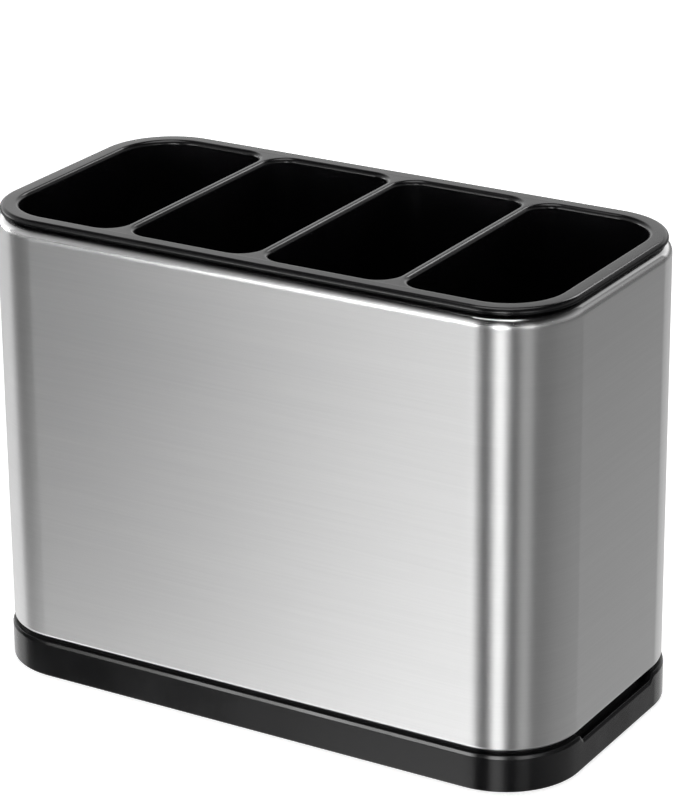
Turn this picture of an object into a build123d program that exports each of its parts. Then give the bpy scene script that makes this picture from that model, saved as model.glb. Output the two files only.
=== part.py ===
from build123d import *
import os

# Free-standing cutlery holder, in millimetres: a brushed steel sleeve stands on a drip tray,
# and a black insert with a row of cups hangs in the sleeve by its rim.
# X runs along the length, Y from front to back and Z up, from the middle of the footprint.

# Steel sleeve
sleeve_length = 212.0
sleeve_depth = 106.5
sleeve_corner = 26.0
sleeve_height = 144.1
sheet = 0.6
roll_radius = 3.8
hem_height = 6.0
hem_gap = 1.6

# Divided insert
cup_count = 4
rim_inset = 1.2
rim_width = 6.4
rim_height = 1.8
rim_round = 1.5
neck_inset = 3.4
neck_height = 0.9
divider_width = 3.6
cup_corner = 8.0
cup_wall = 1.5
cup_floor = 2.0
cup_floor_round = 3.0
cup_under_chamfer = 2.0
cup_draft = 0.75
cup_clearance = 1.5
lip_clearance = 0.4

# Drain slots in the floor of each cup
slot_length = 24.0
slot_width = 3.5
slot_pitch = 15.0
slot_count = 5

# Base tray
base_margin = 0.7
skirt_height = 12.65
skirt_wall = 1.4
bevel_height = 1.2
bevel_slope = 20.0
skirt_foot_round = 0.6
seat_step = 1.15
seat_inset = 1.2
upstand_height = 5.0
upstand_wall = 1.6
upstand_lead = 0.6
upstand_clearance = 0.35
tray_floor = 2.0
tray_floor_round = 2.5
floor_raise = 1.0

# Finger notches in the ends of the base
notch_width = 53.0
notch_depth = 2.2
notch_ramp = 3.0
notch_floor = 1.6

# Stiffening ribs under the edge of the base
rib_thickness = 1.2
rib_pitch = 36.0
rib_recess = 1.5

# Rubber feet
foot_diameter = 14.0
foot_stand = 0.8
foot_chamfer = 0.4
foot_inset = 20.0
foot_clearance = 0.2
foot_ring_wall = 1.4

# Levels, from the table upwards
floor_under_z = foot_stand + floor_raise
floor_z = floor_under_z + tray_floor
margin_z = foot_stand + skirt_height
bevel_z = margin_z - bevel_height
notch_z = margin_z - notch_depth
channel_z = notch_z - notch_floor
seat_z = margin_z + seat_step
upstand_z = seat_z + upstand_height
cup_under_z = upstand_z + cup_clearance
cup_floor_z = cup_under_z + cup_floor
lip_z = seat_z + sleeve_height
neck_z = lip_z + neck_height
rim_z = neck_z + rim_height

# Distances in from the outer face of the sleeve
cup_inset = rim_inset + rim_width
lip_width = cup_inset - cup_wall - lip_clearance
hem_width = 2 * sheet + hem_gap
upstand_inset = hem_width + upstand_clearance
well_inset = upstand_inset + upstand_wall
skirt_inset = skirt_wall - base_margin
channel_inset = (skirt_inset + upstand_inset) / 2
channel_width = upstand_inset - skirt_inset

# Cups, equal along the row
cup_depth = sleeve_depth - 2 * cup_inset
cup_length = (sleeve_length - 2 * cup_inset - (cup_count - 1) * divider_width) / cup_count
cup_pitch = cup_length + divider_width
end_corner = sleeve_corner - cup_inset

# Ribs, as many as the straight sides hold
side_ribs = int((sleeve_length - 2 * sleeve_corner - rib_thickness) // rib_pitch) + 1
end_ribs = int((sleeve_depth - 2 * sleeve_corner - rib_thickness) // rib_pitch) + 1

# Feet, one near each corner
foot_x = sleeve_length / 2 - foot_inset
foot_y = sleeve_depth / 2 - foot_inset
foot_socket_radius = foot_diameter / 2 + foot_clearance

os.makedirs("parts", exist_ok=True)


def inset_outline(inset, mode=Mode.ADD):
    """Draw the sleeve's rounded outline, moved in by inset."""
    RectangleRounded(
        sleeve_length - 2 * inset,
        sleeve_depth - 2 * inset,
        sleeve_corner - inset,
        mode=mode,
    )


def cup_outline(cup, grow):
    """Return the mouth of one cup, grown by grow; the end cups follow the sleeve's corners."""
    left_corner = end_corner if cup == 0 else cup_corner
    right_corner = end_corner if cup == cup_count - 1 else cup_corner
    with BuildSketch(mode=Mode.PRIVATE) as mouth:
        with Locations(((cup - (cup_count - 1) / 2) * cup_pitch, 0)):
            Rectangle(cup_length + 2 * grow, cup_depth + 2 * grow)
        fillet(mouth.vertices().group_by(Axis.X)[0], left_corner + grow)
        fillet(mouth.vertices().group_by(Axis.X)[-1], right_corner + grow)
    return mouth.sketch


# Sleeve: the middle line of a bent strip of sheet, given its thickness and carried round the outline.
# The top edge rolls inwards to a lip and the foot edge folds up inside as an open hem.
with BuildSketch(Plane.XY.offset(seat_z)) as sleeve_outline:
    inset_outline(0)
sleeve_path = sleeve_outline.sketch.wire()
path_direction = sleeve_path % 0
section_plane = Plane(
    origin=sleeve_path @ 0,
    x_dir=Vector(0, 0, 1).cross(path_direction),
    z_dir=path_direction,
)
half_sheet = sheet / 2
with BuildPart() as steel_sleeve:
    with BuildSketch(section_plane):
        with BuildLine():
            hem_x = hem_width - half_sheet
            hem_leg = Line((hem_x, hem_height - half_sheet), (hem_x, hem_width / 2))
            hem_fold = TangentArc(hem_leg @ 1, (half_sheet, hem_width / 2), tangent=hem_leg % 1)
            wall = Line(hem_fold @ 1, (half_sheet, sleeve_height - roll_radius))
            roll = TangentArc(wall @ 1, (roll_radius, sleeve_height - half_sheet), tangent=wall % 1)
            Line(roll @ 1, (lip_width - half_sheet, sleeve_height - half_sheet))
            offset(amount=half_sheet, kind=Kind.INTERSECTION)
        make_face()
    sweep(path=sleeve_path)
steel_sleeve.part.label = "steel_sleeve"
export_step(steel_sleeve.part, "parts/steel_sleeve.step")

# Insides of the cups: they narrow downwards by the draft of the moulding
with BuildPart() as cup_cores:
    for cup in range(cup_count):
        with BuildSketch(Plane.XY.offset(rim_z)):
            add(cup_outline(cup, 0))
        extrude(amount=cup_floor_z - rim_z, taper=cup_draft)
    fillet(cup_cores.edges().group_by(Axis.Z)[0], cup_floor_round)

# Insert: one moulding, with the skins of the cups hanging side by side from a rounded rim,
# which stands on the sleeve's lip on a narrower neck
with BuildPart() as divided_insert:
    for cup in range(cup_count):
        with BuildSketch(Plane.XY.offset(rim_z)):
            add(cup_outline(cup, cup_wall))
        extrude(amount=cup_under_z - rim_z, taper=cup_draft)
    chamfer(divided_insert.edges().group_by(Axis.Z)[0], cup_under_chamfer)
    with BuildSketch(Plane.XY.offset(lip_z)):
        inset_outline(neck_inset)
    extrude(amount=neck_height)
    with BuildSketch(Plane.XY.offset(neck_z)):
        inset_outline(rim_inset)
    extrude(amount=rim_height)
    add(cup_cores.part, mode=Mode.SUBTRACT)
    fillet(divided_insert.faces().sort_by(Axis.Z)[-1].edges(), rim_round)
    with BuildSketch(Plane.XY.offset(cup_under_z)):
        with GridLocations(cup_pitch, slot_pitch, cup_count, slot_count):
            SlotOverall(slot_length, slot_width)
    extrude(amount=cup_floor, mode=Mode.SUBTRACT)
divided_insert.part.label = "divided_insert"
export_step(divided_insert.part, "parts/divided_insert.step")

# Base tray: a skirt with a bevelled edge round a drip well, with a narrower seat for the sleeve's hem
# and an upstand inside the hem that keeps the sleeve in place
with BuildPart() as base_tray:
    with BuildSketch(Plane.XY.offset(foot_stand)):
        inset_outline(-base_margin)
    extrude(amount=skirt_height - bevel_height)
    fillet(base_tray.edges().group_by(Axis.Z)[0], skirt_foot_round)
    with BuildSketch(Plane.XY.offset(bevel_z)):
        inset_outline(-base_margin)
    extrude(amount=bevel_height, taper=bevel_slope)
    with BuildSketch(Plane.XY.offset(margin_z)):
        inset_outline(seat_inset)
    extrude(amount=seat_step)
    with BuildSketch(Plane.XY.offset(seat_z)):
        inset_outline(upstand_inset)
    extrude(amount=upstand_height)
    chamfer(base_tray.edges().group_by(Axis.Z)[-1], upstand_lead)

    # Drip well, with a rounded floor edge
    with BuildSketch(Plane.XY.offset(upstand_z)):
        inset_outline(well_inset)
    extrude(amount=floor_z - upstand_z, mode=Mode.SUBTRACT)
    well_floor = base_tray.faces(Select.LAST).filter_by(Plane.XY).sort_by(Axis.Z)[0]
    fillet(well_floor.edges(), tray_floor_round)

    # Underside: a ribbed channel inside the skirt, and a raised floor with a ring for each foot
    with BuildSketch(Plane.XY.offset(foot_stand)):
        inset_outline(skirt_inset)
        inset_outline(upstand_inset, mode=Mode.SUBTRACT)
    extrude(amount=channel_z - foot_stand, mode=Mode.SUBTRACT)
    with BuildSketch(Plane.XY.offset(channel_z)):
        with GridLocations(rib_pitch, sleeve_depth - 2 * channel_inset, side_ribs, 2):
            Rectangle(rib_thickness, channel_width)
        with GridLocations(sleeve_length - 2 * channel_inset, rib_pitch, 2, end_ribs):
            Rectangle(channel_width, rib_thickness)
    extrude(amount=foot_stand + rib_recess - channel_z)
    with BuildSketch(Plane.XY.offset(foot_stand)):
        inset_outline(upstand_inset)
        with GridLocations(2 * foot_x, 2 * foot_y, 2, 2):
            Circle(foot_socket_radius + foot_ring_wall, mode=Mode.SUBTRACT)
            Circle(foot_socket_radius)
    extrude(amount=floor_raise, mode=Mode.SUBTRACT)

    # Finger notches with sloping ends, cut across the bevelled edge and under the sleeve
    notch_top = notch_width / 2
    notch_bottom = notch_top - notch_ramp
    for end in (-1, 1):
        with BuildSketch(Plane.YZ.offset(end * (sleeve_length / 2 - upstand_inset))):
            with BuildLine():
                Polyline(
                    (-notch_top, seat_z),
                    (-notch_top, margin_z),
                    (-notch_bottom, notch_z),
                    (notch_bottom, notch_z),
                    (notch_top, margin_z),
                    (notch_top, seat_z),
                    close=True,
                )
            make_face()
        extrude(amount=end * (upstand_inset + base_margin), mode=Mode.SUBTRACT)
base_tray.part.label = "base_tray"
export_step(base_tray.part, "parts/base_tray.step")

# Feet: a rubber pad in each ring, standing out below the skirt
for row, row_y in (("front", -foot_y), ("back", foot_y)):
    for hand, hand_x in (("left", -foot_x), ("right", foot_x)):
        with BuildPart() as foot:
            with BuildSketch():
                with Locations((hand_x, row_y)):
                    Circle(foot_diameter / 2)
            extrude(amount=floor_under_z)
            chamfer(foot.edges().group_by(Axis.Z)[0], foot_chamfer)
        foot.part.label = f"foot_{row}_{hand}"
        export_step(foot.part, f"parts/foot_{row}_{hand}.step")
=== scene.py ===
"""Looks of a free-standing cutlery holder: steel sleeve, black cup insert, black base and rubber feet."""

import math

import bmesh
import bpy
from bpy.props import FloatProperty, FloatVectorProperty, IntProperty, PointerProperty
from mathutils import Matrix, Vector
from mathutils.geometry import tessellate_polygon


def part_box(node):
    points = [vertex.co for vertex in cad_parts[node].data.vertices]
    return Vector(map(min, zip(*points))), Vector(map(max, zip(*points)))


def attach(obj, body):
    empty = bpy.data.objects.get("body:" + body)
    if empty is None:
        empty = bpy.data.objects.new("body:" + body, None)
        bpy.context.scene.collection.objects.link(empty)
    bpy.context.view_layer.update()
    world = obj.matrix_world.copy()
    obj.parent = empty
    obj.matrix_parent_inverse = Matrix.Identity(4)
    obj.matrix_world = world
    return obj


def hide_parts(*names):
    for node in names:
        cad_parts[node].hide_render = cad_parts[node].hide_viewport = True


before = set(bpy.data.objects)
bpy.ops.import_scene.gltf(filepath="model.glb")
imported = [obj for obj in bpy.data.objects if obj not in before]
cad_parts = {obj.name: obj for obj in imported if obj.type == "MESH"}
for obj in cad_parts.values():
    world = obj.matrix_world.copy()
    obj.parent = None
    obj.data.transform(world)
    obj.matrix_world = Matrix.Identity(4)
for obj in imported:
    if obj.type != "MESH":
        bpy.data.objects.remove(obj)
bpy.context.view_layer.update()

bl_info = {
    "name": "Cutlery Holder",
    "version": (1, 0, 0),
    "blender": (4, 5, 0),
    "location": "3D View > Sidebar > Cutlery Holder",
    "description": "Builds the looks of a cutlery holder around its packed CAD frame",
    "category": "Object",
}

# Places of the CAD pieces, in metres
SLEEVE_LOW, SLEEVE_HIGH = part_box("steel_sleeve")
INSERT_LOW, INSERT_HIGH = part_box("divided_insert")
BASE_LOW, BASE_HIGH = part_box("base_tray")
FOOT_LOW, FOOT_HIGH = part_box("foot_back_right")
FOOT_NODES = ("foot_front_left", "foot_front_right", "foot_back_left", "foot_back_right")
FOOT_RADIUS = (FOOT_HIGH.x - FOOT_LOW.x) / 2

# Steps of an upright corner, a rounded edge, a bend in the sheet and a notch's slope
CORNER_STEPS = 24
EDGE_STEPS = 6
FOLD_STEPS = 10
NOTCH_STEPS = 8

# Edges that bend by more than this stay crisp
CRISP_ANGLE = math.radians(35)

# Instanced pieces reach this far into what carries them
EMBED = 0.0002

# Softness of a crisp moulded edge
SOFT_EDGE = 0.00015

# Vertices nearer than this become one
MERGE_DISTANCE = 1e-7


# Settings

def length(name, description, default):
    """A size in metres that a user can change."""
    return FloatProperty(
        name=name, description=description, default=default, min=0.0, unit="LENGTH", precision=4
    )


def angle(name, description, degrees):
    """An angle that a user can change."""
    return FloatProperty(name=name, description=description, default=math.radians(degrees), subtype="ANGLE")


def colour(name, description, default):
    """A colour that a user can change."""
    return FloatVectorProperty(
        name=name, description=description, default=default, min=0.0, max=1.0, subtype="COLOR"
    )


def share(name, description, default):
    """A value from 0 to 1 that a user can change."""
    return FloatProperty(
        name=name, description=description, default=default, min=0.0, max=1.0, subtype="FACTOR"
    )


def power(name, description, watts):
    """A lamp's power that a user can change."""
    return FloatProperty(name=name, description=description, default=watts, min=0.0, unit="POWER")


def count(name, description, default):
    """A number of like things that a user can change."""
    return IntProperty(name=name, description=description, default=default, min=1)


class SleeveSettings(bpy.types.PropertyGroup):
    """Sizes and finish of the steel sleeve."""

    corner: length("Corner radius", "Outer radius of the upright corners", 0.026)
    sheet: length("Sheet", "Thickness of the steel", 0.0006)
    roll: length("Roll radius", "Radius of the top edge, which rolls inwards", 0.0038)
    lip: length("Lip", "How far the rolled edge reaches in", 0.0057)
    hem: length("Hem height", "Height of the fold inside the foot edge", 0.006)
    hem_gap: length("Hem gap", "Open space inside the folded hem", 0.0016)
    dark: colour("Steel, dark streaks", "Colour of the darker brush lines", (0.66, 0.66, 0.66))
    light: colour("Steel, light streaks", "Colour of the lighter brush lines", (0.7, 0.7, 0.7))
    roughness: share("Roughness", "Mean roughness of the brushed face", 0.3)


class InsertSettings(bpy.types.PropertyGroup):
    """Sizes and finish of the insert with its cups."""

    cups: count("Cups", "Number of cups in the row", 4)
    corner: length("Rim corner radius", "Outer radius of the rim's corners", 0.0248)
    rim: length("Rim width", "Width of the rim on the cups", 0.0064)
    rim_height: length("Rim height", "Thickness of the rim", 0.0018)
    neck: length("Neck", "Height of the neck between the rim and the sleeve", 0.0009)
    neck_inset: length("Neck inset", "How far the neck lies inside the rim's edge", 0.0022)
    edge: length("Edge radius", "Rounding of the top edges", 0.0015)
    divider: length("Divider width", "Width of the top between two cups", 0.0036)
    cup_corner: length("Cup corner radius", "Radius where a divider runs into the rim", 0.008)
    wall: length("Wall", "Thickness of a cup's wall", 0.0015)
    floor: length("Floor", "Thickness of a cup's floor", 0.002)
    floor_round: length("Floor radius", "Rounding at the floor inside a cup", 0.003)
    chamfer: length("Chamfer", "Bevel round the underside of a cup", 0.002)
    draft: angle("Draft", "Slope of the cups' walls", 0.75)
    slots: count("Slots", "Drain slots in each cup", 5)
    slot_length: length("Slot length", "Length of a drain slot", 0.024)
    slot_width: length("Slot width", "Width of a drain slot", 0.0035)
    slot_pitch: length("Slot pitch", "Distance between drain slots", 0.015)
    black: colour("Plastic", "Colour of the insert", (0.004, 0.004, 0.0045))


class BaseSettings(bpy.types.PropertyGroup):
    """Sizes and finish of the base with its drip well."""

    skirt: length("Skirt wall", "Thickness of the outer wall", 0.0014)
    bevel: length("Bevel", "Height of the bevel round the upper edge", 0.0012)
    bevel_slope: angle("Bevel slope", "Lean of the bevel from upright", 20)
    foot_round: length("Foot radius", "Rounding of the lower outer edge", 0.0006)
    seat_step: length("Seat step", "Height of the seat that carries the sleeve", 0.00115)
    seat_inset: length("Seat inset", "How far the seat lies inside the sleeve's face", 0.0012)
    upstand_inset: length("Upstand inset", "From the sleeve's face to the upstand", 0.00315)
    upstand_wall: length("Upstand wall", "Thickness of the upstand", 0.0016)
    upstand_lead: length("Upstand lead", "Bevel that guides the sleeve on", 0.0006)
    floor: length("Floor", "Thickness of the drip well's floor", 0.002)
    floor_raise: length("Floor raise", "Height of the floor above the skirt's foot", 0.001)
    floor_round: length("Floor radius", "Rounding round the drip well's floor", 0.0025)
    notch_width: length("Notch width", "Width of the finger notch in each end", 0.053)
    notch_depth: length("Notch depth", "Depth of the finger notch", 0.0022)
    notch_ramp: length("Notch ramp", "Length of the notch's sloping ends", 0.003)
    notch_floor: length("Notch floor", "Thickness under the notch", 0.0016)
    rib: length("Rib", "Thickness of a stiffening rib", 0.0012)
    rib_pitch: length("Rib pitch", "Distance between ribs", 0.036)
    rib_recess: length("Rib recess", "How far the ribs stay above the skirt's foot", 0.0015)
    ring_wall: length("Ring wall", "Thickness of the ring round a foot", 0.0014)
    ring_clearance: length("Ring clearance", "Space between a foot and its ring", 0.0002)
    black: colour("Plastic", "Colour of the base", (0.006, 0.006, 0.0065))


class FeetSettings(bpy.types.PropertyGroup):
    """Sizes and finish of the feet."""

    chamfer: length("Chamfer", "Bevel round the sole of a foot", 0.0004)
    rubber: colour("Rubber", "Colour of the feet", (0.035, 0.035, 0.036))


class StageSettings(bpy.types.PropertyGroup):
    """Camera, floor and lights."""

    azimuth: angle("Camera azimuth", "Turn of the camera from the front to the right", 31.07)
    elevation: angle("Camera elevation", "Height of the camera above the horizon", 21.45)
    roll: angle("Camera roll", "Turn of the camera about its axis", -0.54)
    distance: length("Camera distance", "From the camera to its aim", 1.1295)
    lens: FloatProperty(
        name="Lens", description="Focal length of the camera in millimetres", default=156.18, unit="CAMERA"
    )
    aim: FloatVectorProperty(
        name="Aim", description="Point in the middle of the picture", default=(0.0034, 0.0, 0.09915),
        subtype="TRANSLATION", precision=4,
    )
    floor: colour("Floor", "Colour of the floor", (0.8, 0.8, 0.8))
    floor_glow: share("Floor glow", "How much of the floor's white the camera sees without light", 0.8)
    tent: length("Tent radius", "Radius of the light tent round the holder", 2.0)
    softbox: length("Softbox", "Side of the overhead softbox", 0.6)
    softbox_height: length("Softbox height", "Height of the overhead softbox", 1.0)
    softbox_power: power("Softbox power", "Power of the overhead softbox", 3.0)
    strip_azimuth: angle("Strip azimuth", "Turn of the strip light from the front to the right", 182)
    strip_elevation: angle("Strip elevation", "Height of the strip light above the horizon", 36)
    strip_distance: length("Strip distance", "From the strip light to the rim", 1.5)
    strip_length: length("Strip length", "Length of the strip light", 0.5)
    strip_width: length("Strip width", "Width of the strip light", 0.25)
    strip_power: power("Strip power", "Power of the strip light", 1.8)


# Outlines and meshes

def rounded_outline(low, high, left_radius, right_radius):
    """Points of a rectangle with rounded corners, anticlockwise from above, starting at the left end."""
    corners = (
        (low[0] + left_radius, low[1] + left_radius, left_radius, 180),
        (high[0] - right_radius, low[1] + right_radius, right_radius, 270),
        (high[0] - right_radius, high[1] - right_radius, right_radius, 0),
        (low[0] + left_radius, high[1] - left_radius, left_radius, 90),
    )
    points = []
    for x, y, radius, start in corners:
        for step in range(CORNER_STEPS + 1):
            turn = math.radians(start + 90 * step / CORNER_STEPS)
            points.append((x + radius * math.cos(turn), y + radius * math.sin(turn)))
    return points


def arc(centre, radius, start, end, steps):
    """Points of an arc in a plane, with both ends; the angles are in degrees."""
    points = []
    for step in range(steps + 1):
        turn = math.radians(start + (end - start) * step / steps)
        points.append((centre[0] + radius * math.cos(turn), centre[1] + radius * math.sin(turn)))
    return points


def circle(radius):
    """Points of a circle about the upright axis."""
    return arc((0, 0), radius, 0, 360, 4 * CORNER_STEPS)[:-1]


def soften(path, reach):
    """Points that round off the inner corners of a path in a plane; its two ends are left out."""
    points = []
    for before, corner, after in zip(path, path[1:], path[2:]):
        corner = Vector(corner)
        start = corner + reach * (Vector(before) - corner).normalized()
        end = corner + reach * (Vector(after) - corner).normalized()
        for step in range(EDGE_STEPS + 1):
            along = step / EDGE_STEPS
            points.append(tuple(start.lerp(corner, along).lerp(corner.lerp(end, along), along)))
    return points


def ring(bm, points):
    """Add a closed ring of vertices."""
    return [bm.verts.new(point) for point in points]


def level_ring(bm, outline, z):
    """Add a closed ring of vertices at one height."""
    return ring(bm, [(x, y, z) for x, y in outline])


def bridge(bm, rings):
    """Close the strips between rings that follow each other; going up, anticlockwise rings face outwards."""
    for first, second in zip(rings, rings[1:]):
        for here in range(len(first)):
            after = (here + 1) % len(first)
            bm.faces.new((first[here], first[after], second[after], second[here]))


def fill(bm, outer, holes, facing_up):
    """Close a flat area between a ring and the holes in it."""
    rings = [outer, *holes]
    verts = [vert for each in rings for vert in each]
    for triangle in tessellate_polygon([[vert.co for vert in each] for each in rings]):
        face = bm.faces.new([verts[index] for index in triangle])
        face.normal_update()
        if (face.normal.z > 0) != facing_up:
            face.normal_flip()


def add_object(name, bm):
    """Turn a bmesh into an object of the scene."""
    mesh = bpy.data.meshes.new(name)
    bm.to_mesh(mesh)
    bm.free()
    obj = bpy.data.objects.new(name, mesh)
    bpy.context.scene.collection.objects.link(obj)
    return obj


def bake(obj):
    """Make the object's modifiers part of its mesh."""
    graph = bpy.context.evaluated_depsgraph_get()
    finished = obj.evaluated_get(graph)
    mesh = bpy.data.meshes.new_from_object(finished, preserve_all_data_layers=True, depsgraph=graph)
    rough_mesh = obj.data
    obj.modifiers.clear()
    obj.data = mesh
    bpy.data.meshes.remove(rough_mesh)


def smooth(obj):
    """Shade rounded faces smoothly, and keep flat faces flat and sharp edges crisp."""
    mesh = obj.data
    mesh.polygons.foreach_set("use_smooth", [True] * len(mesh.polygons))
    mesh.set_sharp_from_angle(angle=CRISP_ANGLE)
    weighted = obj.modifiers.new("Weighted normals", "WEIGHTED_NORMAL")
    weighted.keep_sharp = True
    bake(obj)


def place(obj, name, body, slot, *nodes):
    """Name the finished piece, fix it to its CAD body and let it stand for its CAD nodes."""
    obj.name = name
    obj.data.name = name
    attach(obj, body)
    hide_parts(*nodes)


# Node trees

def set_inputs(node, values):
    """Give inputs of a node their values by name."""
    for key, value in values.items():
        node.inputs[key].default_value = value


def add_node(tree, kind, values=None, **settings):
    """Add a node, with its settings and the values of its inputs by name."""
    node = tree.nodes.new(kind)
    for key, value in settings.items():
        setattr(node, key, value)
    set_inputs(node, values or {})
    return node


def new_tree(name, **inputs):
    """Start a geometry tree whose inputs are named; returns it and its input node."""
    tree = bpy.data.node_groups.new(name, "GeometryNodeTree")
    tree.interface.new_socket("Geometry", in_out="INPUT", socket_type="NodeSocketGeometry")
    for label, kind in inputs.items():
        tree.interface.new_socket(label.replace("_", " "), in_out="INPUT", socket_type=f"NodeSocket{kind}")
    tree.interface.new_socket("Material", in_out="INPUT", socket_type="NodeSocketMaterial")
    tree.interface.new_socket("Geometry", in_out="OUTPUT", socket_type="NodeSocketGeometry")
    return tree, tree.nodes.new("NodeGroupInput")


def end_tree(tree, given, geometry):
    """Realize what the tree made, give it its material and pass it on."""
    real = add_node(tree, "GeometryNodeRealizeInstances")
    painted = add_node(tree, "GeometryNodeSetMaterial")
    output = tree.nodes.new("NodeGroupOutput")
    tree.links.new(geometry, real.inputs["Geometry"])
    tree.links.new(real.outputs["Geometry"], painted.inputs["Geometry"])
    tree.links.new(given.outputs["Material"], painted.inputs["Material"])
    tree.links.new(painted.outputs["Geometry"], output.inputs["Geometry"])


def run_tree(obj, tree, **values):
    """Run a geometry tree on the object with these inputs, and keep the result as its mesh."""
    modifier = obj.modifiers.new(tree.name, "NODES")
    modifier.node_group = tree
    for socket in tree.interface.items_tree:
        key = socket.name.replace(" ", "_")
        if socket.in_out == "INPUT" and key in values:
            modifier[socket.identifier] = values[key]
    bake(obj)


def math_node(tree, operation, first, second):
    """One step of arithmetic; each side is a socket or a number. Returns the result's socket."""
    node = add_node(tree, "ShaderNodeMath", operation=operation)
    for index, side in enumerate((first, second)):
        if isinstance(side, (int, float)):
            node.inputs[index].default_value = side
        else:
            tree.links.new(side, node.inputs[index])
    return node.outputs["Value"]


def grid_points(tree, given):
    """Points of a grid about the middle, by the tree's inputs. Returns the grid's socket."""
    grid = add_node(tree, "GeometryNodeMeshGrid")
    for axis, many, pitch in (("X", "Columns", "Column pitch"), ("Y", "Rows", "Row pitch")):
        gaps = math_node(tree, "SUBTRACT", given.outputs[many], 1)
        span = math_node(tree, "MULTIPLY", given.outputs[pitch], gaps)
        tree.links.new(given.outputs[many], grid.inputs[f"Vertices {axis}"])
        tree.links.new(span, grid.inputs[f"Size {axis}"])
    return grid.outputs["Mesh"]


def instances(tree, points, shape):
    """Copies of a shape on points. Returns their socket."""
    node = add_node(tree, "GeometryNodeInstanceOnPoints")
    tree.links.new(points, node.inputs["Points"])
    tree.links.new(shape, node.inputs["Instance"])
    return node.outputs["Instances"]


def rounded_path(tree, long_side, short_side, radius, steps):
    """A rounded rectangle as a curve. Returns its socket."""
    sides = add_node(tree, "GeometryNodeCurvePrimitiveQuadrilateral")
    corners = add_node(tree, "GeometryNodeFilletCurve", {"Count": steps, "Limit Radius": True}, mode="POLY")
    tree.links.new(long_side, sides.inputs["Width"])
    tree.links.new(short_side, sides.inputs["Height"])
    tree.links.new(sides.outputs["Curve"], corners.inputs["Curve"])
    tree.links.new(radius, corners.inputs["Radius"])
    return corners.outputs["Curve"]


def sweep_tree():
    """The section in the mesh, carried round a rounded rectangle."""
    tree, given = new_tree("Sleeve sweep", Length="Float", Depth="Float", Corner_radius="Float")
    path = rounded_path(
        tree, given.outputs["Length"], given.outputs["Depth"], given.outputs["Corner radius"], CORNER_STEPS
    )
    upright = add_node(tree, "GeometryNodeSetCurveNormal", mode="Z_UP")
    section = add_node(tree, "GeometryNodeMeshToCurve")
    skin = add_node(tree, "GeometryNodeCurveToMesh")
    tree.links.new(path, upright.inputs["Curve"])
    tree.links.new(given.outputs["Geometry"], section.inputs["Mesh"])
    tree.links.new(upright.outputs["Curve"], skin.inputs["Curve"])
    tree.links.new(section.outputs["Curve"], skin.inputs["Profile Curve"])
    end_tree(tree, given, skin.outputs["Mesh"])
    return tree


def drain_tree():
    """Round-ended slots in a grid, cut through the mesh."""
    tree, given = new_tree(
        "Drain slots", Slot_length="Float", Slot_width="Float", Columns="Int", Rows="Int",
        Column_pitch="Float", Row_pitch="Float", Bottom="Float", Top="Float",
    )
    width = given.outputs["Slot width"]
    end_radius = math_node(tree, "MULTIPLY", width, 0.5)
    outline = rounded_path(tree, given.outputs["Slot length"], width, end_radius, EDGE_STEPS)
    low = add_node(tree, "ShaderNodeCombineXYZ")
    high = add_node(tree, "ShaderNodeCombineXYZ")
    axis = add_node(tree, "GeometryNodeCurvePrimitiveLine")
    cutter = add_node(tree, "GeometryNodeCurveToMesh", {"Fill Caps": True})
    cut = add_node(tree, "GeometryNodeMeshBoolean", operation="DIFFERENCE", solver="EXACT")
    tree.links.new(given.outputs["Bottom"], low.inputs["Z"])
    tree.links.new(given.outputs["Top"], high.inputs["Z"])
    tree.links.new(low.outputs["Vector"], axis.inputs["Start"])
    tree.links.new(high.outputs["Vector"], axis.inputs["End"])
    tree.links.new(axis.outputs["Curve"], cutter.inputs["Curve"])
    tree.links.new(outline, cutter.inputs["Profile Curve"])
    cutters = instances(tree, grid_points(tree, given), cutter.outputs["Mesh"])
    tree.links.new(given.outputs["Geometry"], cut.inputs["Mesh 1"])
    tree.links.new(cutters, cut.inputs["Mesh 2"])
    end_tree(tree, given, cut.outputs["Mesh"])
    return tree


def grid_tree():
    """The mesh, repeated on a grid."""
    tree, given = new_tree("Grid", Columns="Int", Rows="Int", Column_pitch="Float", Row_pitch="Float")
    end_tree(tree, given, instances(tree, grid_points(tree, given), given.outputs["Geometry"]))
    return tree


# Materials

# Noises, as waves per metre along X, Y and Z and as detail
FINE_LINES = ((22, 22, 1500), 3)
BROAD_LINES = ((9, 9, 260), 2)
PLASTIC_CLOUD = ((60, 60, 60), 3)
PLASTIC_SKIN = ((2600, 2600, 2600), 2)
RUBBER_GRAIN = ((1800, 1800, 1800), 3)

# Most of a noise lies in this range
NOISE_RANGE = (0.3, 0.7)

# The steel's streaks: share of the fine lines in them, and how far they move the roughness up and down
FINE_SHARE = 0.7
STREAK_ROUGHNESS = 0.015

# The polish on the steel's rolled edge: where it starts and is full, in roll radii below the top,
# and the share of the roughness that it leaves
POLISH_REACH = (0.8, 0.35)
POLISH_LEFT = 0.5

# Highlights on the steel spread up and down, across the brush lines
BRUSH_ANISOTROPY = 0.75
BRUSH_ROTATION = 0.25

# Heights of the brush lines, the plastic's skin and the rubber's grain, in metres
LINE_HEIGHT = 0.0000015
SKIN_HEIGHT = 0.000004
GRAIN_HEIGHT = 0.00003

# Roughness, from the glossiest to the dullest places
INSERT_ROUGHNESS = (0.16, 0.24)
BASE_ROUGHNESS = (0.14, 0.2)
RUBBER_ROUGHNESS = (0.7, 0.85)

# How far the noise makes a colour darker and lighter
PLASTIC_TINT = 0.15
RUBBER_TINT = 0.2

PLASTIC_IOR = 1.45


def new_material(name):
    """Start a material; returns it, its node tree and its shader."""
    material = bpy.data.materials.new(name)
    material.use_nodes = True
    tree = material.node_tree
    return material, tree, tree.nodes["Principled BSDF"]


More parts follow.
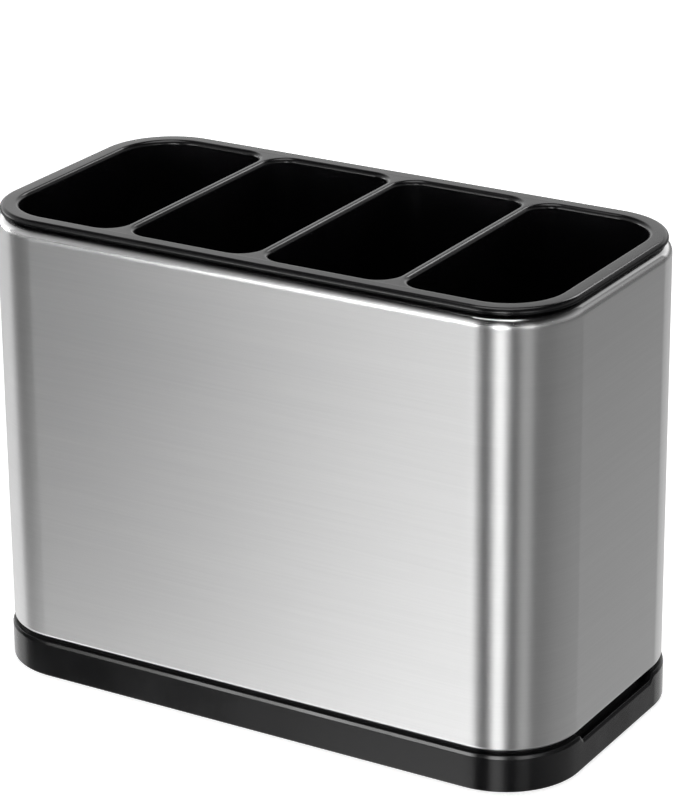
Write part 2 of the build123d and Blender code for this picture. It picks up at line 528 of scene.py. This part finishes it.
def stretched_noise(tree, waves, detail):
    """Noise on the piece's own coordinates, by waves per metre along each axis. Returns its socket."""
    place_on = add_node(tree, "ShaderNodeTexCoord")
    mapping = add_node(tree, "ShaderNodeMapping", {"Scale": waves})
    noise = add_node(tree, "ShaderNodeTexNoise", {"Scale": 1.0, "Detail": detail})
    tree.links.new(place_on.outputs["Object"], mapping.inputs["Vector"])
    tree.links.new(mapping.outputs["Vector"], noise.inputs["Vector"])
    return noise.outputs["Fac"]


def tint(tree, factor, shader, dark, light):
    """Colour the shader between two shades by the factor."""
    ramp = add_node(tree, "ShaderNodeValToRGB")
    for element, position, shade in zip(ramp.color_ramp.elements, NOISE_RANGE, (dark, light)):
        element.position = position
        element.color = (*shade, 1)
    tree.links.new(factor, ramp.inputs["Fac"])
    tree.links.new(ramp.outputs["Color"], shader.inputs["Base Color"])


def shades(mean, change):
    """A darker and a lighter shade of a colour."""
    return [[level * part for part in mean] for level in (1 - change, 1 + change)]


def map_range(tree, value, before, after):
    """A value carried from one range to another and held at its ends. Returns its socket."""
    ends = {"From Min": before[0], "From Max": before[1], "To Min": after[0], "To Max": after[1]}
    node = add_node(tree, "ShaderNodeMapRange", ends)
    tree.links.new(value, node.inputs["Value"])
    return node.outputs["Result"]


def piece_height(tree):
    """Height on the piece. Returns its socket."""
    place_on = add_node(tree, "ShaderNodeTexCoord")
    parts = add_node(tree, "ShaderNodeSeparateXYZ")
    tree.links.new(place_on.outputs["Object"], parts.inputs["Vector"])
    return parts.outputs["Z"]


def emboss(tree, factor, shader, height):
    """Raise the shader's surface by the factor."""
    bump = add_node(tree, "ShaderNodeBump", {"Strength": 1.0, "Distance": height})
    tree.links.new(factor, bump.inputs["Height"])
    tree.links.new(bump.outputs["Normal"], shader.inputs["Normal"])


def brushed_steel(settings):
    """Stainless sheet, brushed round the sleeve in long fine lines and polished on its rolled edge."""
    material, tree, shader = new_material("brushed_steel")
    fine = stretched_noise(tree, *FINE_LINES)
    broad = stretched_noise(tree, *BROAD_LINES)
    fine_part = math_node(tree, "MULTIPLY", fine, FINE_SHARE)
    broad_part = math_node(tree, "MULTIPLY", broad, 1 - FINE_SHARE)
    streaks = math_node(tree, "ADD", fine_part, broad_part)
    tint(tree, streaks, shader, settings.dark, settings.light)
    roughness = (settings.roughness - STREAK_ROUGHNESS, settings.roughness + STREAK_ROUGHNESS)
    brushed = map_range(tree, streaks, NOISE_RANGE, roughness)
    rolled_edge = [SLEEVE_HIGH.z - radii * settings.roll for radii in POLISH_REACH]
    polish = map_range(tree, piece_height(tree), rolled_edge, (1, POLISH_LEFT))
    tree.links.new(math_node(tree, "MULTIPLY", brushed, polish), shader.inputs["Roughness"])
    emboss(tree, fine, shader, LINE_HEIGHT)
    round_sleeve = add_node(tree, "ShaderNodeTangent", direction_type="RADIAL", axis="Z")
    tree.links.new(round_sleeve.outputs["Tangent"], shader.inputs["Tangent"])
    set_inputs(shader, {
        "Metallic": 1.0, "Anisotropic": BRUSH_ANISOTROPY, "Anisotropic Rotation": BRUSH_ROTATION,
    })
    return material


def moulded_plastic(name, black, roughness):
    """Black moulded plastic, with a very fine skin and a slightly uneven gloss."""
    material, tree, shader = new_material(name)
    cloud = stretched_noise(tree, *PLASTIC_CLOUD)
    skin = stretched_noise(tree, *PLASTIC_SKIN)
    tint(tree, cloud, shader, *shades(black, PLASTIC_TINT))
    tree.links.new(map_range(tree, cloud, NOISE_RANGE, roughness), shader.inputs["Roughness"])
    emboss(tree, skin, shader, SKIN_HEIGHT)
    set_inputs(shader, {"IOR": PLASTIC_IOR})
    return material


def matt_rubber(settings):
    """Dark rubber with a dull, grainy face."""
    material, tree, shader = new_material("foot_rubber")
    grain = stretched_noise(tree, *RUBBER_GRAIN)
    tint(tree, grain, shader, *shades(settings.rubber, RUBBER_TINT))
    tree.links.new(map_range(tree, grain, NOISE_RANGE, RUBBER_ROUGHNESS), shader.inputs["Roughness"])
    emboss(tree, grain, shader, GRAIN_HEIGHT)
    return material


# Pieces

def sleeve_section(settings):
    """Outline of the bent sheet, as distance in from the outer face and height above the sleeve's foot."""
    height = SLEEVE_HIGH.z - SLEEVE_LOW.z
    sheet = settings.sheet
    fold = sheet + settings.hem_gap / 2
    roll_centre = (settings.roll, height - settings.roll)
    fold_centre = (fold, fold)
    hem_inside = (sheet + settings.hem_gap, settings.hem)
    hem_outside = (2 * fold, settings.hem)
    lip_top = (settings.lip, height)
    lip_under = (settings.lip, height - sheet)
    return [
        hem_outside,
        hem_inside,
        *arc(fold_centre, settings.hem_gap / 2, 0, -180, FOLD_STEPS),
        *arc(roll_centre, settings.roll - sheet, 180, 90, FOLD_STEPS),
        lip_under,
        lip_top,
        *arc(roll_centre, settings.roll, 90, 180, FOLD_STEPS),
        *arc(fold_centre, fold, 180, 360, FOLD_STEPS),
    ]


class HOLDER_OT_sleeve(bpy.types.Operator):
    """Build the brushed steel sleeve with its rolled top edge and hemmed foot"""

    bl_idname = "holder.build_sleeve"
    bl_label = "Build Sleeve"

    def execute(self, context):
        settings = context.scene.holder_sleeve
        bm = bmesh.new()
        section = ring(bm, [(-inwards, -SLEEVE_LOW.z - up, 0) for inwards, up in sleeve_section(settings)])
        for here, vert in enumerate(section):
            bm.edges.new((section[here - 1], vert))
        sleeve = add_object("sleeve_section", bm)
        size = SLEEVE_HIGH - SLEEVE_LOW
        run_tree(
            sleeve, sweep_tree(), Length=size.x, Depth=size.y, Corner_radius=settings.corner,
            Material=brushed_steel(settings),
        )
        smooth(sleeve)
        place(sleeve, "brushed_sleeve", "sleeve", "brushed_steel", "steel_sleeve")
        return {"FINISHED"}


class CupRow:
    """The row of equal cups in the insert."""

    def __init__(self, settings):
        self.settings = settings
        self.low = Vector((INSERT_LOW.x + settings.rim, INSERT_LOW.y + settings.rim))
        self.high = -self.low
        dividers = (settings.cups - 1) * settings.divider
        self.length = (self.high.x - self.low.x - dividers) / settings.cups
        self.pitch = self.length + settings.divider
        self.slope = math.tan(settings.draft)

    def outline(self, cup, grow):
        """Mouth of one cup, grown by so much; the end cups follow the rim's corners."""
        settings = self.settings
        end_corner = settings.corner - settings.rim
        left = end_corner if cup == 0 else settings.cup_corner
        right = end_corner if cup == settings.cups - 1 else settings.cup_corner
        start = self.low.x + cup * self.pitch
        low = (start - grow, self.low.y - grow)
        high = (start + self.length + grow, self.high.y + grow)
        return rounded_outline(low, high, left + grow, right + grow)

    def narrowing(self, z):
        """How far the walls have drawn in at this height."""
        return (INSERT_HIGH.z - z) * self.slope

    def inside_levels(self):
        """From the rounded mouth down to the floor, as growth of the outline and height."""
        settings = self.settings
        floor_z = INSERT_LOW.z + settings.floor
        bend_z = floor_z + settings.floor_round
        bend = -self.narrowing(bend_z) - settings.floor_round
        mouth = arc((settings.edge, INSERT_HIGH.z - settings.edge), settings.edge, 90, 180, EDGE_STEPS)
        return mouth + arc((bend, bend_z), settings.floor_round, 0, -90, EDGE_STEPS)

    def outside_levels(self):
        """From the underside up to the rim, as growth of the outline and height."""
        settings = self.settings
        bevel_z = INSERT_LOW.z + settings.chamfer
        rim_z = INSERT_HIGH.z - settings.rim_height - settings.neck
        bevel = settings.wall - self.narrowing(bevel_z)
        return [
            (bevel - settings.chamfer, INSERT_LOW.z),
            (bevel, bevel_z),
            (settings.wall - self.narrowing(rim_z), rim_z),
        ]


class HOLDER_OT_insert(bpy.types.Operator):
    """Build the black insert: cups that hang from one rounded rim, with drain slots in their floors"""

    bl_idname = "holder.build_insert"
    bl_label = "Build Insert"

    def execute(self, context):
        settings = context.scene.holder_insert
        row = CupRow(settings)
        bm = bmesh.new()
        mouths = []
        roots = []
        for cup in range(settings.cups):
            inside = [level_ring(bm, row.outline(cup, grow), z) for grow, z in row.inside_levels()]
            outside = [level_ring(bm, row.outline(cup, grow), z) for grow, z in row.outside_levels()]
            bridge(bm, inside)
            bridge(bm, outside)
            bm.faces.new(inside[-1])
            bm.faces.new(reversed(outside[0]))
            mouths.append(inside[0])
            roots.append(outside[-1])
        edge_centre = (-settings.edge, INSERT_HIGH.z - settings.edge)
        rim_z = INSERT_HIGH.z - settings.rim_height
        neck = [(-settings.neck_inset, rim_z - settings.neck), (-settings.neck_inset, rim_z), (0, rim_z)]
        rim_levels = neck + arc(edge_centre, settings.edge, 0, 90, EDGE_STEPS)
        rim = []
        for grow, z in rim_levels:
            low = (INSERT_LOW.x - grow, INSERT_LOW.y - grow)
            high = (INSERT_HIGH.x + grow, INSERT_HIGH.y + grow)
            corner = settings.corner + grow
            rim.append(level_ring(bm, rounded_outline(low, high, corner, corner), z))
        bridge(bm, rim)
        fill(bm, rim[0], roots, facing_up=False)
        fill(bm, rim[-1], mouths, facing_up=True)
        insert = add_object("insert_shell", bm)
        run_tree(
            insert, drain_tree(), Slot_length=settings.slot_length, Slot_width=settings.slot_width,
            Columns=settings.cups, Rows=settings.slots, Column_pitch=row.pitch, Row_pitch=settings.slot_pitch,
            Bottom=INSERT_LOW.z - settings.floor, Top=INSERT_LOW.z + 2 * settings.floor,
            Material=moulded_plastic("insert_plastic", settings.black, INSERT_ROUGHNESS),
        )
        smooth(insert)
        place(insert, "cup_insert", "insert", "black_plastic", "divided_insert")
        return {"FINISHED"}


class BaseShape:
    """Levels and outlines of the base; insets count from the sleeve's outer face."""

    def __init__(self, settings, corner):
        self.settings = settings
        self.corner = corner
        self.margin = BASE_HIGH.x - SLEEVE_HIGH.x
        self.foot_z = BASE_LOW.z
        self.seat_z = SLEEVE_LOW.z
        self.margin_z = self.seat_z - settings.seat_step
        self.notch_z = self.margin_z - settings.notch_depth
        self.channel_z = self.notch_z - settings.notch_floor
        self.under_z = self.foot_z + settings.floor_raise
        self.floor_z = self.under_z + settings.floor
        self.skirt_inset = settings.skirt - self.margin
        self.well_inset = settings.upstand_inset + settings.upstand_wall

    def notch_sides(self):
        """Places across an end where the notch's slopes need a point, from front to back."""
        half = self.settings.notch_width / 2
        slope = [half - self.settings.notch_ramp * step / NOTCH_STEPS for step in range(NOTCH_STEPS + 1)]
        return [-y for y in slope] + slope[::-1]

    def outline(self, inset):
        """Rounded outline with the points of both notches."""
        low = (SLEEVE_LOW.x + inset, SLEEVE_LOW.y + inset)
        high = (SLEEVE_HIGH.x - inset, SLEEVE_HIGH.y - inset)
        points = rounded_outline(low, high, self.corner - inset, self.corner - inset)
        half = len(points) // 2
        sides = self.notch_sides()
        right = [(high[0], y) for y in sides]
        left = [(low[0], y) for y in reversed(sides)]
        return points[:half] + right + points[half:] + left

    def rings(self, bm, levels):
        """Add a ring of vertices at each level, given as inset and height."""
        return [level_ring(bm, self.outline(inset), z) for inset, z in levels]

    def sunk(self, x, y, z):
        """Height of a point of the top after the finger notches are pressed into it."""
        settings = self.settings
        on_end = abs(x) > SLEEVE_HIGH.x - self.corner
        into = (settings.notch_width / 2 - abs(y)) / settings.notch_ramp
        if not on_end or into <= 0:
            return z
        into = min(into, 1)
        return min(z, self.margin_z) - settings.notch_depth * into * into * (3 - 2 * into)

    def top_levels(self):
        """The skirt's rounded foot, and then bevel and seat up to the upstand, as inset and height."""
        settings = self.settings
        rounding = settings.foot_round
        foot = arc((rounding - self.margin, self.foot_z + rounding), rounding, 270, 180, EDGE_STEPS)
        lean = settings.bevel * math.tan(settings.bevel_slope)
        seat = [
            (settings.seat_inset, self.margin_z),
            (settings.seat_inset, self.seat_z),
            (settings.upstand_inset, self.seat_z),
        ]
        bevel = [(-self.margin, self.margin_z - settings.bevel), (lean - self.margin, self.margin_z)]
        return foot, soften([foot[-1], *bevel, seat[0]], SOFT_EDGE) + seat

    def well_levels(self):
        """From the upstand's flank over its top and down to the well's floor, as inset and height."""
        settings = self.settings
        top = BASE_HIGH.z
        lead = settings.upstand_lead
        bend = (self.well_inset + settings.floor_round, self.floor_z + settings.floor_round)
        flank = [
            (settings.upstand_inset, top - lead),
            (settings.upstand_inset + lead, top),
            (self.well_inset, top),
        ]
        return flank + arc(bend, settings.floor_round, 180, 270, EDGE_STEPS)

    def under_levels(self):
        """From the floor's underside over the channel to the skirt's foot, as inset and height."""
        settings = self.settings
        return [
            (settings.upstand_inset, self.under_z),
            (settings.upstand_inset, self.channel_z),
            (self.skirt_inset, self.channel_z),
            (self.skirt_inset, self.foot_z),
        ]


def box_mesh(name, size, middle):
    """A plain block round a middle point."""
    bm = bmesh.new()
    bmesh.ops.create_cube(bm, size=1.0, matrix=Matrix.Translation(middle) @ Matrix.Diagonal((*size, 1)))
    return add_object(name, bm)


def join(target, *others):
    """Add other objects' meshes to the target."""
    bm = bmesh.new()
    for obj in (target, *others):
        bm.from_mesh(obj.data)
    bm.to_mesh(target.data)
    bm.free()
    for obj in others:
        bpy.data.objects.remove(obj)


def repeat_at_feet(obj, material):
    """Repeat a mesh that is centred on the upright axis at all four feet."""
    apart = FOOT_LOW + FOOT_HIGH
    run_tree(
        obj, grid_tree(), Columns=2, Rows=2, Column_pitch=apart.x, Row_pitch=apart.y, Material=material
    )


class HOLDER_OT_base(bpy.types.Operator):
    """Build the black base with its drip well, finger notches, ribs and rings round the feet"""

    bl_idname = "holder.build_base"
    bl_label = "Build Base"

    def execute(self, context):
        settings = context.scene.holder_base
        shape = BaseShape(settings, context.scene.holder_sleeve.corner)
        plastic = moulded_plastic("base_plastic", settings.black, BASE_ROUGHNESS)
        bm = bmesh.new()
        foot, top = shape.top_levels()
        rings = shape.rings(bm, shape.under_levels() + foot)
        for inset, z in top:
            rings.append(ring(bm, [(x, y, shape.sunk(x, y, z)) for x, y in shape.outline(inset)]))
        rings += shape.rings(bm, shape.well_levels())
        bridge(bm, rings)
        bm.faces.new(reversed(rings[0]))
        bm.faces.new(rings[-1])
        bmesh.ops.remove_doubles(bm, verts=bm.verts, dist=MERGE_DISTANCE)
        base = add_object("base_shell", bm)
        join(base, *self.ribs(shape, plastic), self.foot_rings(shape, plastic))
        base.data.materials.clear()
        base.data.materials.append(plastic)
        smooth(base)
        place(base, "drip_base", "base", "black_plastic", "base_tray")
        return {"FINISHED"}

    def ribs(self, shape, plastic):
        """Stiffening ribs across the channel, along the sides and the ends."""
        settings = shape.settings
        low = shape.foot_z + settings.rib_recess
        height = shape.channel_z - low + EMBED
        across = settings.upstand_inset - shape.skirt_inset + 2 * EMBED
        middle = (settings.upstand_inset + shape.skirt_inset) / 2
        lift = Vector((0, 0, low + height / 2))
        straight_x = 2 * (SLEEVE_HIGH.x - shape.corner) - settings.rib
        straight_y = 2 * (SLEEVE_HIGH.y - shape.corner) - settings.rib
        side = box_mesh("side_ribs", (settings.rib, across, height), lift)
        run_tree(
            side, grid_tree(), Columns=int(straight_x // settings.rib_pitch) + 1, Rows=2,
            Column_pitch=settings.rib_pitch, Row_pitch=2 * (SLEEVE_HIGH.y - middle), Material=plastic,
        )
        end = box_mesh("end_ribs", (across, settings.rib, height), lift)
        run_tree(
            end, grid_tree(), Columns=2, Rows=int(straight_y // settings.rib_pitch) + 1,
            Column_pitch=2 * (SLEEVE_HIGH.x - middle), Row_pitch=settings.rib_pitch, Material=plastic,
        )
        return side, end

    def foot_rings(self, shape, plastic):
        """A ring under the floor round each foot."""
        settings = shape.settings
        inner = FOOT_RADIUS + settings.ring_clearance
        outer = inner + settings.ring_wall
        low = shape.foot_z
        high = shape.under_z + EMBED
        bm = bmesh.new()
        levels = [(inner, high), (inner, low), (outer, low), (outer, high), (inner, high)]
        bridge(bm, [level_ring(bm, circle(radius), z) for radius, z in levels])
        bmesh.ops.remove_doubles(bm, verts=bm.verts, dist=MERGE_DISTANCE)
        rings = add_object("foot_rings", bm)
        repeat_at_feet(rings, plastic)
        return rings


class HOLDER_OT_feet(bpy.types.Operator):
    """Build the four rubber feet under the base"""

    bl_idname = "holder.build_feet"
    bl_label = "Build Feet"

    def execute(self, context):
        settings = context.scene.holder_feet
        bm = bmesh.new()
        levels = [
            (FOOT_RADIUS - settings.chamfer, FOOT_LOW.z),
            (FOOT_RADIUS, FOOT_LOW.z + settings.chamfer),
            (FOOT_RADIUS, FOOT_HIGH.z),
        ]
        rings = [level_ring(bm, circle(radius), z) for radius, z in levels]
        bridge(bm, rings)
        bm.faces.new(reversed(rings[0]))
        bm.faces.new(rings[-1])
        feet = add_object("foot_pad", bm)
        repeat_at_feet(feet, matt_rubber(settings))
        smooth(feet)
        place(feet, "rubber_feet", "base", "foot_rubber", *FOOT_NODES)
        return {"FINISHED"}


# Stage

# Steps round the floor and the light tent
ROUND_STEPS = 96

# The floor's radius, in radii of the tent
FLOOR_REACH = 2
FLOOR_ROUGHNESS = 0.9

# Strength of the white world as light on dull faces, and as seen directly or in a mirror
WORLD_LIGHT = (0.5, 1.0)

# Width of the camera's sensor, in millimetres
SENSOR_WIDTH = 36.0

# The light tent's brightness by azimuth, in degrees from the front towards the right
TENT_CARDS = (
    (-180, 0.8), (-165, 0.75), (-149, 0.8), (-112, 1.0), (-83, 1.0), (-74, 0.2), (-58, 0.06),
    (-45, 0.1), (-36.5, 0.0), (-33, 0.04), (-29, 0.98), (-24, 0.88), (-14, 0.9), (-6, 0.03),
    (8, 0.03), (15, 1.45), (25, 1.45), (31, 0.3), (35, 0.04), (41, 0.04), (51, 0.46), (61, 0.46),
    (66, 0.15), (76, 0.21), (100, 0.31), (138, 0.37), (147, 0.31), (152, 0.12), (154.5, 0.62),
    (157.5, 0.8), (164, 0.68), (180, 0.8),
)

# A share of that brightness by height, as the sine of the elevation
TENT_HEIGHTS = (
    (-1.0, 1.3), (-0.6, 1.3), (-0.38, 1.0), (-0.2, 0.65), (-0.05, 0.25), (0.08, 0.3), (0.2, 1.5),
    (0.3, 1.5), (0.4, 1.2), (0.5, 0.8), (0.62, 0.3), (0.8, 0.05), (1.0, 0.05),
)

# A bright band just above the horizon by height, and its share by azimuth
TENT_BAND = (
    (-1.0, 0.0), (0.11, 0.0), (0.135, 12.0), (0.185, 12.0), (0.215, 0.0), (1.0, 0.0),
)
TENT_BAND_SIDES = (
    (-180, 0.0), (-110, 0.0), (-75, 1.0), (65, 1.0), (85, 0.0), (180, 0.0),
)

# Light from below and from above at the front by height, and its share by azimuth
TENT_FILL = (
    (-1.0, 1.5), (-0.6, 1.5), (-0.44, 0.1), (-0.4, 0.0), (0.24, 0.0), (0.35, 0.4), (0.43, 0.47),
    (0.55, 0.49), (0.66, 0.35), (0.75, 0.24), (0.82, 0.09), (0.87, 0.0), (1.0, 0.0),
)
TENT_FILL_SIDES = (
    (-180, 0.0), (-100, 0.0), (-60, 1.3), (-36, 1.1), (-29, 1.07), (-14, 0.3), (-6, 0.0),
    (180, 0.0),
)


def follow(tree, value, stops):
    """A result that runs in straight lines between stops of value and result. Returns its socket."""
    first, last = stops[0][0], stops[-1][0]
    peak = max(result for _, result in stops)
    ramp = add_node(tree, "ShaderNodeValToRGB")
    tree.links.new(map_range(tree, value, (first, last), (0, 1)), ramp.inputs["Fac"])
    elements = ramp.color_ramp.elements
    for at, _ in stops[1:-1]:
        elements.new((at - first) / (last - first))
    for element, (_, result) in zip(elements, stops):
        element.color = (*[result / peak] * 3, 1)
    return math_node(tree, "MULTIPLY", ramp.outputs["Color"], peak)


def tent_material():
    """Glow of the light tent: bright and dark upright cards, a band above the horizon and a front fill."""
    material = bpy.data.materials.new("light_tent")
    material.use_nodes = True
    material.cycles.emission_sampling = "NONE"
    tree = material.node_tree
    tree.nodes.remove(tree.nodes["Principled BSDF"])
    place_on = add_node(tree, "ShaderNodeTexCoord")
    direction = add_node(tree, "ShaderNodeVectorMath", operation="NORMALIZE")
    parts = add_node(tree, "ShaderNodeSeparateXYZ")
    tree.links.new(place_on.outputs["Object"], direction.inputs[0])
    tree.links.new(direction.outputs["Vector"], parts.inputs["Vector"])
    forwards = math_node(tree, "MULTIPLY", parts.outputs["Y"], -1)
    azimuth = math_node(tree, "ARCTAN2", parts.outputs["X"], forwards)
    azimuth = math_node(tree, "MULTIPLY", azimuth, math.degrees(1))
    height = parts.outputs["Z"]
    band_sides = follow(tree, azimuth, TENT_BAND_SIDES)
    band = math_node(tree, "MULTIPLY", follow(tree, height, TENT_BAND), band_sides)
    heights = math_node(tree, "ADD", follow(tree, height, TENT_HEIGHTS), band)
    cards = math_node(tree, "MULTIPLY", follow(tree, azimuth, TENT_CARDS), heights)
    front_sides = follow(tree, azimuth, TENT_FILL_SIDES)
    front = math_node(tree, "MULTIPLY", follow(tree, height, TENT_FILL), front_sides)
    strength = math_node(tree, "ADD", cards, front)
    glow = add_node(tree, "ShaderNodeEmission")
    tree.links.new(strength, glow.inputs["Strength"])
    tree.links.new(glow.outputs["Emission"], tree.nodes["Material Output"].inputs["Surface"])
    return material


def seen_directly(tree):
    """1 for rays from the camera and for what metal or glass shows. Returns the socket."""
    path = add_node(tree, "ShaderNodeLightPath")
    mirrored = math_node(tree, "MAXIMUM", path.outputs["Is Glossy Ray"], path.outputs["Is Transmission Ray"])
    return math_node(tree, "MAXIMUM", path.outputs["Is Camera Ray"], mirrored)


def floor_material(settings):
    """Pale floor that the camera sees as white and that keeps the shadow."""
    material, tree, shader = new_material("pale_floor")
    set_inputs(shader, {
        "Base Color": (*settings.floor, 1),
        "Roughness": FLOOR_ROUGHNESS,
        "Specular IOR Level": 0.0,
        "Emission Color": (1, 1, 1, 1),
    })
    glow = math_node(tree, "MULTIPLY", seen_directly(tree), settings.floor_glow)
    tree.links.new(glow, shader.inputs["Emission Strength"])
    return material


def white_world(scene):
    """White background, with a softer light on everything else."""
    world = bpy.data.worlds.new("white_world")
    scene.world = world
    world.use_nodes = True
    tree = world.node_tree
    background = tree.nodes["Background"]
    set_inputs(background, {"Color": (1, 1, 1, 1)})
    strength = map_range(tree, seen_directly(tree), (0, 1), WORLD_LIGHT)
    tree.links.new(strength, background.inputs["Strength"])


def facing(azimuth, elevation, roll, distance):
    """Place that looks at the origin from an azimuth and an elevation."""
    turn = Matrix.Rotation(azimuth, 4, "Z") @ Matrix.Rotation(math.pi / 2 - elevation, 4, "X")
    return turn @ Matrix.Rotation(roll, 4, "Z") @ Matrix.Translation((0, 0, distance))


def lamp(scene, name, place_at, long_side, short_side, watts):
    """Add a rectangular lamp that the camera doesn't see."""
    light = bpy.data.lights.new(name, "AREA")
    light.shape = "RECTANGLE"
    light.size = long_side
    light.size_y = short_side
    light.energy = watts
    obj = bpy.data.objects.new(name, light)
    obj.matrix_world = place_at
    obj.visible_camera = False
    scene.collection.objects.link(obj)


class HOLDER_OT_stage(bpy.types.Operator):
    """Set up the floor, the light tent, the lamps and the camera"""

    bl_idname = "holder.build_stage"
    bl_label = "Build Stage"

    def execute(self, context):
        scene = context.scene
        settings = scene.holder_stage
        scene.view_settings.view_transform = "Standard"
        white_world(scene)
        self.floor(settings)
        self.tent(settings)
        self.softbox(scene, settings)
        self.strip(scene, settings)
        self.camera(scene, settings)
        return {"FINISHED"}

    def floor(self, settings):
        """Round floor under the feet."""
        bm = bmesh.new()
        bmesh.ops.create_circle(bm, cap_ends=True, radius=FLOOR_REACH * settings.tent, segments=ROUND_STEPS)
        floor = add_object("floor", bm)
        floor.data.materials.append(floor_material(settings))
        floor.visible_glossy = False

    def tent(self, settings):
        """Light tent that the camera sees only in reflections."""
        bm = bmesh.new()
        bmesh.ops.create_uvsphere(
            bm, u_segments=ROUND_STEPS, v_segments=ROUND_STEPS // 2, radius=settings.tent
        )
        tent = add_object("light_tent", bm)
        tent.data.materials.append(tent_material())
        tent.visible_camera = False
        tent.visible_shadow = False

    def softbox(self, scene, settings):
        """Square softbox above the holder."""
        above = Matrix.Translation((0, 0, settings.softbox_height))
        lamp(scene, "softbox", above, settings.softbox, settings.softbox, settings.softbox_power)

    def strip(self, scene, settings):
        """Strip light behind the holder, for the light lines along the rim's edges."""
        rim = Matrix.Translation((0, 0, INSERT_HIGH.z))
        behind = rim @ facing(settings.strip_azimuth, settings.strip_elevation, 0, settings.strip_distance)
        lamp(scene, "strip", behind, settings.strip_length, settings.strip_width, settings.strip_power)

    def camera(self, scene, settings):
        """Camera at the picture's angle, for an upright frame."""
        lens = bpy.data.cameras.new("camera")
        lens.sensor_width = SENSOR_WIDTH
        lens.lens = settings.lens
        camera = bpy.data.objects.new("camera", lens)
        look = facing(settings.azimuth, settings.elevation, settings.roll, settings.distance)
        camera.matrix_world = Matrix.Translation(settings.aim) @ look
        scene.collection.objects.link(camera)
        scene.camera = camera


# Add-on

OPERATORS = (HOLDER_OT_sleeve, HOLDER_OT_insert, HOLDER_OT_base, HOLDER_OT_feet, HOLDER_OT_stage)
SETTINGS = {
    "holder_sleeve": SleeveSettings,
    "holder_insert": InsertSettings,
    "holder_base": BaseSettings,
    "holder_feet": FeetSettings,
    "holder_stage": StageSettings,
}


class HOLDER_PT_panel(bpy.types.Panel):
    """Sidebar panel that lists the pieces and their sizes"""

    bl_idname = "HOLDER_PT_panel"
    bl_label = "Cutlery Holder"
    bl_space_type = "VIEW_3D"
    bl_region_type = "UI"
    bl_category = "Cutlery Holder"

    def draw(self, context):
        for operator, (name, group) in zip(OPERATORS, SETTINGS.items()):
            section = self.layout.box()
            section.operator(operator.bl_idname)
            for key in group.__annotations__:
                section.prop(getattr(context.scene, name), key)


CLASSES = (*SETTINGS.values(), *OPERATORS, HOLDER_PT_panel)


def register():
    for each in CLASSES:
        bpy.utils.register_class(each)
    for name, group in SETTINGS.items():
        setattr(bpy.types.Scene, name, PointerProperty(type=group))


def unregister():
    for name in SETTINGS:
        delattr(bpy.types.Scene, name)
    for each in reversed(CLASSES):
        bpy.utils.unregister_class(each)


def main():
    register()
    bpy.ops.holder.build_sleeve()
    bpy.ops.holder.build_insert()
    bpy.ops.holder.build_base()
    bpy.ops.holder.build_feet()
    bpy.ops.holder.build_stage()


if __name__ == "__main__":
    main()
